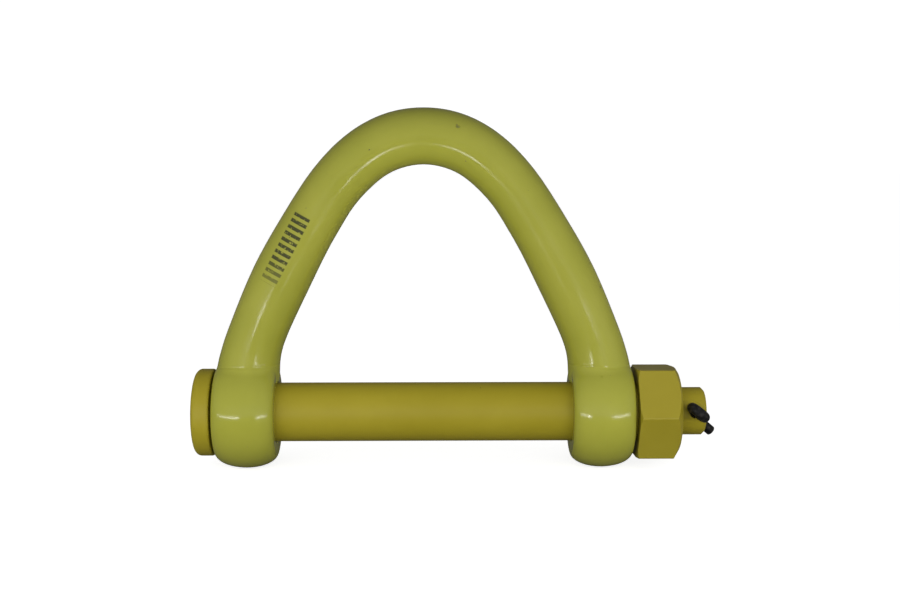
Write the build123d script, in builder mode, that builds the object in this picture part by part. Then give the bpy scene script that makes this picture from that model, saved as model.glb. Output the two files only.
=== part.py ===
from build123d import *
import math
import os

os.makedirs("parts", exist_ok=True)

# Bolt-type web sling shackle for a 1-1/4 in bolt. Millimetres.
# Origin on the bolt axis midway between the eyes, +X towards the nut, +Z towards the crown,
# -Y is the front.

# bow
BOLT_DIA = 31.75            # 1-1/4 in bolt
JAW = 158.75                # clear span between the eyes, 6-1/4 in
EYE_WIDTH = 32.7            # eye length along the bolt
EYE_DIA = 60.0              # outside diameter of an eye
EYE_RIM = 7.4               # radial height of the rounded eye rim
EYE_BORE = BOLT_DIA + 1.0   # bolt hole with its running clearance
NECK_FILLET = 8.0           # blend where a leg runs into its eye
CROWN_Z = 148.5             # centre line of the bar at the crown
CROWN_R, CROWN_ARC = 51.5, 76.4       # centre line of the bar in arcs, radius and degrees
SHOULDER_R, SHOULDER_ARC = 93.6, 18.66
LEG_R, LEG_ARC = 407.5, 11.36
FOOT_R = 80.3
# bar along the left half of the bow: run (0 foot, 1 leg, 2 shoulder, 3 crown), fraction of the run,
# width in the plane of the bow, depth across it
BAR = [(0, 0.0, 31.7, 34.0), (0, 0.35, 33.5, 34.4), (0, 0.55, 32.3, 33.2), (0, 0.75, 31.4, 32.2),
       (0, 1.0, 30.8, 31.4), (1, 0.2, 31.2, 31.4), (1, 0.4, 31.6, 31.6), (1, 0.55, 31.1, 31.1),
       (1, 0.72, 30.2, 30.2), (1, 0.9, 29.7, 29.7), (2, 0.2, 29.3, 29.3), (2, 0.6, 29.5, 29.5),
       (3, 0.06, 29.7, 29.7), (3, 0.52, 30.1, 30.1)]
ROOT_DIA = 28.8             # bar end buried in the eye
CROWN_DIA = 30.1

# bolt
HEAD_DIA, HEAD_THICK = 47.0, 9.8
HEAD_GAP, NUT_GAP = 1.2, 1.95         # between an eye and the head, and an eye and the nut
THREAD_DIA = BOLT_DIA       # 1-1/4 in thread, crests only
DOG_DIA = 25.8              # plain end beyond the thread
DOG_START = 136.3
BOLT_END = 151.5
CROSS_HOLE_DIA = 6.8
CROSS_HOLE_X = 145.3
BOLT_TURN = 8.0             # lift of the cross hole's front end, degrees about the bolt

# nut
NUT_FLATS = 47.625          # 1-7/8 in across flats
NUT_THICK = 22.95
NUT_BORE = THREAD_DIA + 0.12
NUT_OUTER_FACE_R, NUT_OUTER_CUT = 22.0, 3.4    # washer-face radius and corner cut-back, outside
NUT_INNER_FACE_R, NUT_INNER_CUT = 25.3, 1.1    # the same on the eye side
NUT_CORNER_R = 1.0          # rounding of the six corners
NUT_TURN = -2.0             # how far its front edge sits below the bolt's axis, degrees

# cotter pin, 1/4 in, of half-round wire
WIRE_R = 2.8
LEG_GAP = 0.1
COTTER_TILT = 38.5          # turn of the pin's plane in its hole, nose down
RING_R = 4.0                # inside radius of the ring
NECK_R = 3.4                # reverse bend between leg and ring
NECK_Y = -13.4
BEND_R, BEND_ARC, BEND_Y, BENT_LEN = 4.4, 68.0, 12.9, 18.5      # the opened leg
SPLAY_R, SPLAY_ARC, SPLAY_Y, SPLAY_LEN = 14.0, 9.0, 13.5, 14.0   # the other leg

eye_in = JAW / 2
eye_mid = eye_in + EYE_WIDTH / 2
eye_out = eye_in + EYE_WIDTH
head_in = -(eye_out + HEAD_GAP)
nut_in = eye_out + NUT_GAP
nut_out = nut_in + NUT_THICK
foot_arc = 90 - CROWN_ARC / 2 - SHOULDER_ARC - LEG_ARC

# bow, its bar drawn from the crown down to the left eye and mirrored
with BuildPart() as bow:
    with BuildLine(Plane.XZ) as bar:
        crown = JernArc((0, CROWN_Z), (-1, 0), CROWN_R, CROWN_ARC / 2)
        shoulder = JernArc(crown @ 1, crown % 1, SHOULDER_R, SHOULDER_ARC)
        leg = JernArc(shoulder @ 1, shoulder % 1, LEG_R, LEG_ARC)
        foot = JernArc(leg @ 1, leg % 1, FOOT_R, foot_arc)
        root = Line(foot @ 1, ((foot @ 1).X, 6.0))
    runs = (foot, leg, shoulder, crown)
    half = [(root @ 1, root % 1, ROOT_DIA, ROOT_DIA)]
    half += [(runs[n] @ (1 - t), runs[n] % (1 - t), width, depth) for n, t, width, depth in BAR]
    top = [(crown @ 0, crown % 0, CROWN_DIA, CROWN_DIA)]
    other = [(Vector(-p.X, 0, p.Z), Vector(d.X, 0, -d.Z), width, depth)
             for p, d, width, depth in reversed(half)]
    for point, direction, width, depth in half + top + other:
        with BuildSketch(Plane(origin=point, x_dir=(0, 1, 0), z_dir=direction)):
            Ellipse(depth / 2, width / 2)
    loft()
    for side in (-1, 1):
        with BuildSketch(Plane.XZ):
            with BuildLine():
                rim = EllipticalCenterArc((side * eye_mid, EYE_RIM - EYE_DIA / 2), EYE_WIDTH / 2, EYE_RIM,
                                          start_angle=180, arc_size=180)
                Polyline(rim @ 0, ((rim @ 0).X, 0), ((rim @ 1).X, 0), rim @ 1)
            make_face()
        revolve(axis=Axis.X)
    necks = [e for e in bow.edges() if 12 < e.bounding_box().min.Z and e.bounding_box().max.Z < 36]
    fillet(necks, NECK_FILLET)
    with Locations((eye_mid, 0, 0), (-eye_mid, 0, 0)):
        Cylinder(EYE_BORE / 2, EYE_WIDTH + 10, rotation=(0, 90, 0), mode=Mode.SUBTRACT)
    mouths = bow.edges().filter_by(GeomType.CIRCLE).filter_by(lambda e: abs(e.radius - EYE_BORE / 2) < 0.01)
    fillet(mouths, 1.2)
bow.part.label = "bow"
export_step(bow.part, "parts/bow.step")

# bolt
with BuildPart() as bolt:
    with BuildSketch(Plane.XY):
        with BuildLine():
            Polyline((head_in - HEAD_THICK, 0), (head_in - HEAD_THICK, HEAD_DIA / 2), (head_in, HEAD_DIA / 2),
                     (head_in, BOLT_DIA / 2), (DOG_START - 2.0, THREAD_DIA / 2), (DOG_START, DOG_DIA / 2),
                     (BOLT_END, DOG_DIA / 2), (BOLT_END, 0), close=True)
        make_face()
    revolve(axis=Axis.X)
    rims = bolt.edges().filter_by(GeomType.CIRCLE)
    fillet(rims.filter_by(lambda e: abs(e.center().X - head_in + HEAD_THICK) < 0.01), 3.4)
    fillet(rims.filter_by(lambda e: abs(e.center().X - head_in) < 0.01 and e.radius > BOLT_DIA / 2 + 1), 1.0)
    fillet(bolt.edges().filter_by(GeomType.CIRCLE).filter_by(
        lambda e: abs(e.center().X - head_in) < 0.01 and abs(e.radius - BOLT_DIA / 2) < 0.01), 0.8)
    chamfer(bolt.edges().filter_by(lambda e: abs(e.center().X - BOLT_END) < 0.01), 1.4)
    with Locations((CROSS_HOLE_X, 0, 0)):
        Cylinder(CROSS_HOLE_DIA / 2, DOG_DIA + 4, rotation=(90 - BOLT_TURN, 0, 0), mode=Mode.SUBTRACT)
bolt.part.label = "bolt"
export_step(bolt.part, "parts/bolt.step")

# nut
corner_r = NUT_FLATS / math.sqrt(3)
with BuildPart() as nut:
    with BuildSketch(Plane.YZ.offset(nut_in)):
        RegularPolygon(NUT_FLATS / 2, 6, major_radius=False, rotation=NUT_TURN)
    extrude(amount=NUT_THICK)
    fillet(nut.edges().filter_by(Axis.X), NUT_CORNER_R)
    with BuildSketch(Plane.XY):
        with BuildLine():
            Polyline((nut_in, 0), (nut_in, NUT_INNER_FACE_R), (nut_in + NUT_INNER_CUT, corner_r + 0.01),
                     (nut_out - NUT_OUTER_CUT, corner_r + 0.01), (nut_out, NUT_OUTER_FACE_R), (nut_out, 0),
                     close=True)
        make_face()
    revolve(axis=Axis.X, mode=Mode.INTERSECT)
    with Locations((nut_in, 0, 0)):
        Cylinder(NUT_BORE / 2, 3 * NUT_THICK, rotation=(0, 90, 0), mode=Mode.SUBTRACT)
    mouths = nut.edges().filter_by(GeomType.CIRCLE).filter_by(lambda e: abs(e.radius - NUT_BORE / 2) < 0.01)
    chamfer(mouths, 1.2)
nut.part.label = "nut"
export_step(nut.part, "parts/nut.step")

# cotter pin, drawn in its own plane: local x across the legs, local y along the cross hole, backwards.
# The path follows the flat of the wire from the opened leg's tip, round the ring, to the other tip.
tilt = math.radians(COTTER_TILT)
pin_plane = Plane(origin=(CROSS_HOLE_X, 0, 0),
                  x_dir=Vector(math.cos(tilt), 0, -math.sin(tilt)).rotate(Axis.X, -BOLT_TURN),
                  z_dir=Vector(math.sin(tilt), 0, math.cos(tilt)).rotate(Axis.X, -BOLT_TURN))
side_gap = LEG_GAP / 2
turn = math.radians(BEND_ARC)
bend_x, bend_y = side_gap + BEND_R * (1 - math.cos(turn)), BEND_Y + BEND_R * math.sin(turn)
tip_x, tip_y = bend_x + BENT_LEN * math.sin(turn), bend_y + BENT_LEN * math.cos(turn)
flare = math.degrees(math.acos((side_gap + NECK_R) / (RING_R + NECK_R)))
with BuildPart() as cotter_pin:
    with BuildLine(pin_plane) as wire:
        opened = Line((tip_x, tip_y), (bend_x, bend_y))
        bend = JernArc(opened @ 1, opened % 1, BEND_R, BEND_ARC)
        through = Line(bend @ 1, pin_plane.from_local_coords(Vector(side_gap, NECK_Y)))
        neck = JernArc(through @ 1, through % 1, NECK_R, flare)
        ring = JernArc(neck @ 1, neck % 1, RING_R, -180 - 2 * flare)
        neck_2 = JernArc(ring @ 1, ring % 1, NECK_R, flare)
        back = Line(neck_2 @ 1, pin_plane.from_local_coords(Vector(-side_gap, SPLAY_Y)))
        splay = JernArc(back @ 1, back % 1, SPLAY_R, SPLAY_ARC)
        Line(splay @ 1, splay @ 1 + (splay % 1) * SPLAY_LEN)
    with BuildSketch(Plane(origin=opened @ 0, x_dir=pin_plane.z_dir.cross(opened % 0), z_dir=opened % 0)):
        with BuildLine():
            round_side = CenterArc((0, 0), WIRE_R, -90, 180)
            Line(round_side @ 1, round_side @ 0)
        make_face()
    sweep(path=wire.wires()[0])
cotter_pin.part.label = "cotter_pin"
export_step(cotter_pin.part, "parts/cotter_pin.step")
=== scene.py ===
import math

import bpy
from mathutils import Matrix, Vector


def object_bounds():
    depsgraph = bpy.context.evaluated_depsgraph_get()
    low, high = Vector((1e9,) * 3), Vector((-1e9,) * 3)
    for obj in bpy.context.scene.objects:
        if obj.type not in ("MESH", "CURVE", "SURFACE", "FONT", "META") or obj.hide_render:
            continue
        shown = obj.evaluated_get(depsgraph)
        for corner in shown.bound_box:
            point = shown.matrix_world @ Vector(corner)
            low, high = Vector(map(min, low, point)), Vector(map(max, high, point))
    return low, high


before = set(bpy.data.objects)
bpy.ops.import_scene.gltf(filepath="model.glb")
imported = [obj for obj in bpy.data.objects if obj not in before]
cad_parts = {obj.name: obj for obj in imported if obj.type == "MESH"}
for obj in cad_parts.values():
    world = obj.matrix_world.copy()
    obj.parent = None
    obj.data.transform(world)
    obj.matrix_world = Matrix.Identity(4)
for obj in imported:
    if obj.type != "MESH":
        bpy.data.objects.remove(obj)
cad_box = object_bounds()
scene = bpy.context.scene
scene.view_settings.view_transform = "Standard"

# Metres and radians. Colours are linear.

# camera: position, turn to the right, tilt down, roll; lens and sensor in mm
CAM_POS = Vector((0.0053, -0.6884, 0.1348))
CAM_YAW, CAM_TILT, CAM_ROLL = 0.0127, 0.1070, -0.0003
LENS, SENSOR = 51.44, 36

# enamel, the same on every painted piece; scales are of the noise, depths and heights of the bump
DRIFT_SCALE, MOTTLE_SCALE, MOTTLE_AMOUNT = 22, 160, 0.22
CHIP_SCALE, CHIP_FROM, CHIP_TO, CHIP_DEPTH, CHIP_ROUGH = 330, 0.735, 0.765, 0.00012, 0.4
CHIP_COLOUR = (0.035, 0.032, 0.02)
BLOT_SCALE, BLOT_AMOUNT = 900, 0.55
SHEEN_SCALE, SHEEN_SPREAD = 60, 0.08
DENT_SCALE, DENT_DEPTH = 38, 0.00025
PEEL_SCALE = 420

# forging seam round the bow, in the plane y = 0, and the line where its legs meet its eyes
SEAM_HALF, SEAM_SOFT, SEAM_HEIGHT, SEAM_SCALE, SEAM_WANDER = 0.0009, 0.0010, 0.00025, 70, 0.001
CREASE_Z, CREASE_HALF, CREASE_SOFT, CREASE_DEPTH = 0.0262, 0.0005, 0.0016, 0.00022
CREASE_SCALE, CREASE_WANDER = 45, 0.003

# turning marks on the bolt: radians of their wave per metre, and depth
TURNED_RATE, TURNED_DEPTH = 5200.0, 0.000006

# ink bars on the left leg: middle, slope, and the row's length, width and pitch
INK_X, INK_Z, INK_ANGLE = -0.0726, 0.0891, math.radians(62)
INK_LENGTH, INK_WIDTH, INK_PITCH = 0.040, 0.0092, 0.00364
INK_COLOUR = (0.022, 0.024, 0.012)
INK_BAR, INK_BAR_SOFT = 0.23, 0.30      # half a bar's width, sharp and faded, in pitches
INK_FADE, INK_LEAST, INK_GAIN = (-0.004, 0.016), 0.45, 0.45     # fading at the lower end of the row

# floor and room
FLOOR_HALF, FLOOR_GAP, FLOOR_GLOW, FLOOR_DULL = 30, 0.0002, 0.82, 0.3
ROOM_FRONT, ROOM_BACK, ROOM_SEEN = 0.42, 0.15, 1.05

forward = Vector((math.sin(CAM_YAW) * math.cos(CAM_TILT), math.cos(CAM_YAW) * math.cos(CAM_TILT),
                  -math.sin(CAM_TILT)))
right = forward.cross(Vector((0, 0, 1))).normalized()
up = right.cross(forward)
cr, sr = math.cos(CAM_ROLL), math.sin(CAM_ROLL)
right, up = cr * right + sr * up, cr * up - sr * right
cam_data = bpy.data.cameras.new("camera")
cam_data.lens = LENS
cam_data.sensor_width = SENSOR
cam_data.clip_start = 0.01
cam = bpy.data.objects.new("camera", cam_data)
cam.matrix_world = Matrix((
    (right.x, up.x, -forward.x, CAM_POS.x),
    (right.y, up.y, -forward.y, CAM_POS.y),
    (right.z, up.z, -forward.z, CAM_POS.z),
    (0, 0, 0, 1)))
scene.collection.objects.link(cam)
scene.camera = cam


# node helpers
def material(name):
    mat = bpy.data.materials.new(name)
    mat.use_nodes = True
    tree = mat.node_tree
    return mat, tree, tree.nodes["Principled BSDF"]


def node(tree, kind, **values):
    new = tree.nodes.new(kind)
    for key, value in values.items():
        setattr(new, key, value)
    return new


def math_node(tree, op, a, b=None):
    new = node(tree, "ShaderNodeMath", operation=op)
    for i, value in enumerate((a, b)):
        if value is None:
            continue
        if isinstance(value, (int, float)):
            new.inputs[i].default_value = value
        else:
            tree.links.new(value, new.inputs[i])
    return new.outputs[0]


def noise(tree, coords, scale, detail=2.0, rough=0.5):
    new = node(tree, "ShaderNodeTexNoise")
    new.inputs["Scale"].default_value = scale
    new.inputs["Detail"].default_value = detail
    new.inputs["Roughness"].default_value = rough
    tree.links.new(coords, new.inputs["Vector"])
    return new.outputs["Fac"]


def ramp(tree, fac, low, high):
    """0 at low, 1 at high, eased between them."""
    new = node(tree, "ShaderNodeMapRange", interpolation_type="SMOOTHSTEP")
    tree.links.new(fac, new.inputs["Value"])
    new.inputs["From Min"].default_value = low
    new.inputs["From Max"].default_value = high
    return new.outputs[0]


def mix(tree, fac, a, b):
    new = node(tree, "ShaderNodeMix", data_type="RGBA")
    for i, value in ((0, fac), (6, a), (7, b)):
        if isinstance(value, tuple):
            new.inputs[i].default_value = (*value, 1)
        else:
            tree.links.new(value, new.inputs[i])
    return new.outputs[2]


def bump(tree, height, distance, normal=None):
    new = node(tree, "ShaderNodeBump")
    new.inputs["Distance"].default_value = distance
    tree.links.new(height, new.inputs["Height"])
    if normal is not None:
        tree.links.new(normal, new.inputs["Normal"])
    return new.outputs["Normal"]


def band(tree, value, half, soft):
    """1 where a value is within half of zero, fading out over soft."""
    away = math_node(tree, "ABSOLUTE", value)
    return math_node(tree, "SUBTRACT", 1.0, ramp(tree, away, half - soft / 2, half + soft / 2))


def offset(tree, value, centre):
    return math_node(tree, "SUBTRACT", value, centre)


def wander(tree, value, pos, scale, amount):
    """A value pushed up and down by noise."""
    push = math_node(tree, "MULTIPLY", offset(tree, noise(tree, pos, scale, 2), 0.5), amount)
    return math_node(tree, "ADD", value, push)


def product(tree, *values):
    total = values[0]
    for value in values[1:]:
        total = math_node(tree, "MULTIPLY", total, value)
    return total


def spot(tree, pos, centre, radius):
    """1 inside a ragged blot around a point of the surface."""
    away = node(tree, "ShaderNodeVectorMath", operation="DISTANCE")
    tree.links.new(pos, away.inputs[0])
    away.inputs[1].default_value = centre
    ragged = math_node(tree, "MULTIPLY", noise(tree, pos, BLOT_SCALE, 2), radius)
    ragged = math_node(tree, "ADD", away.outputs["Value"], ragged)
    return math_node(tree, "SUBTRACT", 1.0, ramp(tree, ragged, radius, radius * 1.5))


def ink_bars(tree, pos, axes):
    """A worn row of plain bars printed along the left leg's front, with no lettering."""
    across_x, across_z = offset(tree, axes["X"], INK_X), offset(tree, axes["Z"], INK_Z)
    ca, sa = math.cos(INK_ANGLE), math.sin(INK_ANGLE)
    along = math_node(tree, "ADD", math_node(tree, "MULTIPLY", across_x, ca),
                      math_node(tree, "MULTIPLY", across_z, sa))
    across = math_node(tree, "SUBTRACT", math_node(tree, "MULTIPLY", across_z, ca),
                       math_node(tree, "MULTIPLY", across_x, sa))
    phase = math_node(tree, "PINGPONG", math_node(tree, "ADD", along, 1.0), INK_PITCH / 2)
    bars = math_node(tree, "SUBTRACT", 1.0, ramp(tree, phase, INK_PITCH * INK_BAR, INK_PITCH * INK_BAR_SOFT))
    front = ramp(tree, axes["Y"], -0.004, -0.006)
    worn = ramp(tree, noise(tree, pos, 600, 3, 0.6), 0.30, 0.46)
    faded = ramp(tree, along, -INK_LENGTH / 2 + INK_FADE[0], -INK_LENGTH / 2 + INK_FADE[1])
    faded = math_node(tree, "ADD", math_node(tree, "MULTIPLY", faded, INK_GAIN), INK_LEAST)
    return product(tree, bars, band(tree, along, INK_LENGTH / 2, 0.0006),
                   band(tree, across, INK_WIDTH / 2, 0.0007), front, worn, faded)


def enamel(name, base, deep, roughness, peel_depth, gloss=0.5, forged=False, turned=False, blots=()):
    """Enamel over steel: colour drift, orange peel, shallow dents and chips.

    A forged piece adds the ink bars, the seam and the crease; a turned one adds turning marks. Blots are
    dark spots, each a point and a radius.
    """
    mat, tree, shader = material(name)
    shader.inputs["Specular IOR Level"].default_value = gloss
    pos = node(tree, "ShaderNodeTexCoord").outputs["Object"]
    split = node(tree, "ShaderNodeSeparateXYZ")
    tree.links.new(pos, split.inputs[0])
    axes = split.outputs
    colour = mix(tree, ramp(tree, noise(tree, pos, DRIFT_SCALE, 3), 0.3, 0.75), base, deep)
    mottle = ramp(tree, noise(tree, pos, MOTTLE_SCALE, 4, 0.6), 0.35, 0.7)
    colour = mix(tree, math_node(tree, "MULTIPLY", mottle, MOTTLE_AMOUNT), colour, deep)
    chips = ramp(tree, noise(tree, pos, CHIP_SCALE, 3, 0.6), CHIP_FROM, CHIP_TO)
    for centre, radius in blots:
        blot = math_node(tree, "MULTIPLY", spot(tree, pos, centre, radius), BLOT_AMOUNT)
        chips = math_node(tree, "MAXIMUM", chips, blot)
    if forged:
        colour = mix(tree, ink_bars(tree, pos, axes), colour, INK_COLOUR)
    colour = mix(tree, chips, colour, CHIP_COLOUR)
    tree.links.new(colour, shader.inputs["Base Color"])
    rough = ramp(tree, noise(tree, pos, SHEEN_SCALE, 4), 0.2, 0.8)
    rough = math_node(tree, "ADD", math_node(tree, "MULTIPLY", rough, SHEEN_SPREAD), roughness)
    rough = math_node(tree, "ADD", rough, math_node(tree, "MULTIPLY", chips, CHIP_ROUGH))
    tree.links.new(rough, shader.inputs["Roughness"])
    normal = bump(tree, noise(tree, pos, DENT_SCALE, 2), DENT_DEPTH)
    normal = bump(tree, noise(tree, pos, PEEL_SCALE, 2), peel_depth, normal)
    if forged:
        ridge = band(tree, wander(tree, axes["Y"], pos, SEAM_SCALE, SEAM_WANDER), SEAM_HALF, SEAM_SOFT)
        normal = bump(tree, ridge, SEAM_HEIGHT, normal)
        crease = wander(tree, offset(tree, axes["Z"], CREASE_Z), pos, CREASE_SCALE, CREASE_WANDER)
        crease = band(tree, crease, CREASE_HALF, CREASE_SOFT)
        normal = bump(tree, math_node(tree, "SUBTRACT", 1.0, crease), CREASE_DEPTH, normal)
    if turned:
        rings = math_node(tree, "SINE", math_node(tree, "MULTIPLY", axes["X"], TURNED_RATE))
        normal = bump(tree, rings, TURNED_DEPTH, normal)
    normal = bump(tree, math_node(tree, "SUBTRACT", 1.0, chips), CHIP_DEPTH, normal)
    tree.links.new(normal, shader.inputs["Normal"])
    return mat


bow_paint = enamel("bow_enamel", (0.385, 0.382, 0.050), (0.345, 0.350, 0.040), 0.11, 0.000025, forged=True,
                   blots=(((0.018, -0.0135, 0.1535), 0.0016), ((0.0915, -0.0285, 0.0125), 0.0013)))
bolt_paint = enamel("bolt_enamel", (0.375, 0.310, 0.022), (0.335, 0.275, 0.016), 0.42, 0.000015, gloss=0.25,
                    turned=True)
nut_paint = enamel("nut_enamel", (0.365, 0.303, 0.026), (0.325, 0.268, 0.018), 0.33, 0.00003, gloss=0.4)

pin_steel, tree, shader = material("pin_steel")
pos = node(tree, "ShaderNodeTexCoord").outputs["Object"]
worn = ramp(tree, noise(tree, pos, 500, 3), 0.45, 0.7)
tree.links.new(mix(tree, worn, (0.012, 0.012, 0.012), (0.05, 0.045, 0.04)), shader.inputs["Base Color"])
shader.inputs["Metallic"].default_value = 0.6
shader.inputs["Roughness"].default_value = 0.45
tree.links.new(bump(tree, noise(tree, pos, 900, 2), 0.00002), shader.inputs["Normal"])

for name, mat in (("bow", bow_paint), ("bolt", bolt_paint), ("nut", nut_paint), ("cotter_pin", pin_steel)):
    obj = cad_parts[name]
    obj.data.materials.clear()
    obj.data.materials.append(mat)

# floor: white to the camera, duller to everything else, so that it doesn't light the underside too much
corners = [(x * FLOOR_HALF, y * FLOOR_HALF, 0) for x, y in ((-1, -1), (1, -1), (1, 1), (-1, 1))]
floor_mesh = bpy.data.meshes.new("floor")
floor_mesh.from_pydata(corners, [], [(0, 1, 2, 3)])
floor = bpy.data.objects.new("floor", floor_mesh)
floor.location.z = cad_box[0][2] - FLOOR_GAP
scene.collection.objects.link(floor)
floor_mat, tree, shader = material("floor_white")
shader.inputs["Base Color"].default_value = (0.8, 0.8, 0.8, 1)
shader.inputs["Roughness"].default_value = 0.9
shader.inputs["Specular IOR Level"].default_value = 0.0
shader.inputs["Emission Color"].default_value = (1, 1, 1, 1)
shader.inputs["Emission Strength"].default_value = FLOOR_GLOW
dull = node(tree, "ShaderNodeBsdfDiffuse")
dull.inputs["Color"].default_value = (FLOOR_DULL, FLOOR_DULL, FLOOR_DULL, 1)
choose = node(tree, "ShaderNodeMixShader")
tree.links.new(node(tree, "ShaderNodeLightPath").outputs["Is Camera Ray"], choose.inputs[0])
tree.links.new(dull.outputs[0], choose.inputs[1])
tree.links.new(shader.outputs[0], choose.inputs[2])
tree.links.new(choose.outputs[0], tree.nodes["Material Output"].inputs["Surface"])
floor_mesh.materials.append(floor_mat)

# world: white to the camera; to everything else a soft room, brighter in front of the object than behind
world = bpy.data.worlds.new("studio")
scene.world = world
world.use_nodes = True
wt = world.node_tree
room = wt.nodes["Background"]
room.inputs[0].default_value = (1, 1, 1, 1)
axis = node(wt, "ShaderNodeSeparateXYZ")
wt.links.new(node(wt, "ShaderNodeTexCoord").outputs["Generated"], axis.inputs[0])
front = ramp(wt, math_node(wt, "MULTIPLY", axis.outputs["Y"], -1.0), -0.6, 0.9)
wt.links.new(math_node(wt, "ADD", math_node(wt, "MULTIPLY", front, ROOM_FRONT - ROOM_BACK), ROOM_BACK),
             room.inputs[1])
seen = node(wt, "ShaderNodeBackground")
seen.inputs[0].default_value = (1, 1, 1, 1)
seen.inputs[1].default_value = ROOM_SEEN
choose = node(wt, "ShaderNodeMixShader")
wt.links.new(node(wt, "ShaderNodeLightPath").outputs["Is Camera Ray"], choose.inputs[0])
wt.links.new(room.outputs[0], choose.inputs[1])
wt.links.new(seen.outputs[0], choose.inputs[2])
wt.links.new(choose.outputs[0], wt.nodes["World Output"].inputs["Surface"])


def lamp(name, place, aim, wide, tall, radiance, spread=180.0, glossy=True):
    """A rectangular lamp at place, facing aim, that the camera doesn't see.

    Spread is its opening in degrees. Its energy shrinks with the opening, so that its brightness is kept.
    """
    data = bpy.data.lights.new(name, "AREA")
    data.shape = "RECTANGLE"
    data.size, data.size_y = wide, tall
    data.energy = radiance * math.pi * wide * tall
    if spread < 180:
        half = math.radians(spread / 2)
        data.spread = 2 * half
        data.energy *= 1 - half / math.tan(half)
    light = bpy.data.objects.new(name, data)
    light.location = place
    light.rotation_euler = (Vector(aim) - Vector(place)).to_track_quat("-Z", "Y").to_euler()
    light.visible_camera = False
    light.visible_glossy = glossy
    scene.collection.objects.link(light)


# thin strips low in front, which draw the lines along the crown and across the eyes; near and far are each
# strip's two ends, measured from the middle
lamp("outer_left", (-0.67, -0.60, -0.010), (-0.67, 0, -0.010), 0.96, 0.036, 11)
lamp("outer_right", (0.73, -0.60, -0.008), (0.73, 0, -0.008), 0.94, 0.040, 11)
for side, near, far in ((-1, 0.024, 0.075), (1, 0.020, 0.085)):
    middle, length = side * (near + far) / 2, far - near
    lamp("crown_strip", (0.9 * middle, -0.275, -0.014), (-side * 0.03, 0, 0.138), 0.85 * length, 0.028, 12,
         spread=28)
    lamp("eye_strip", (middle, -0.315, -0.008), (-side * 0.095, -0.03, 0.0), length, 0.030, 12, spread=16)

# soft fills that light the paint but aren't mirrored in it
lamp("front_fill", (0, -0.40, 0.075), (0, 0, 0.055), 0.75, 0.16, 2.7, glossy=False)
for side in (-1, 1):
    lamp("side_fill", (side * 0.36, -0.12, 0.06), (side * 0.09, 0, 0.04), 0.20, 0.16, 1.3, glossy=False)
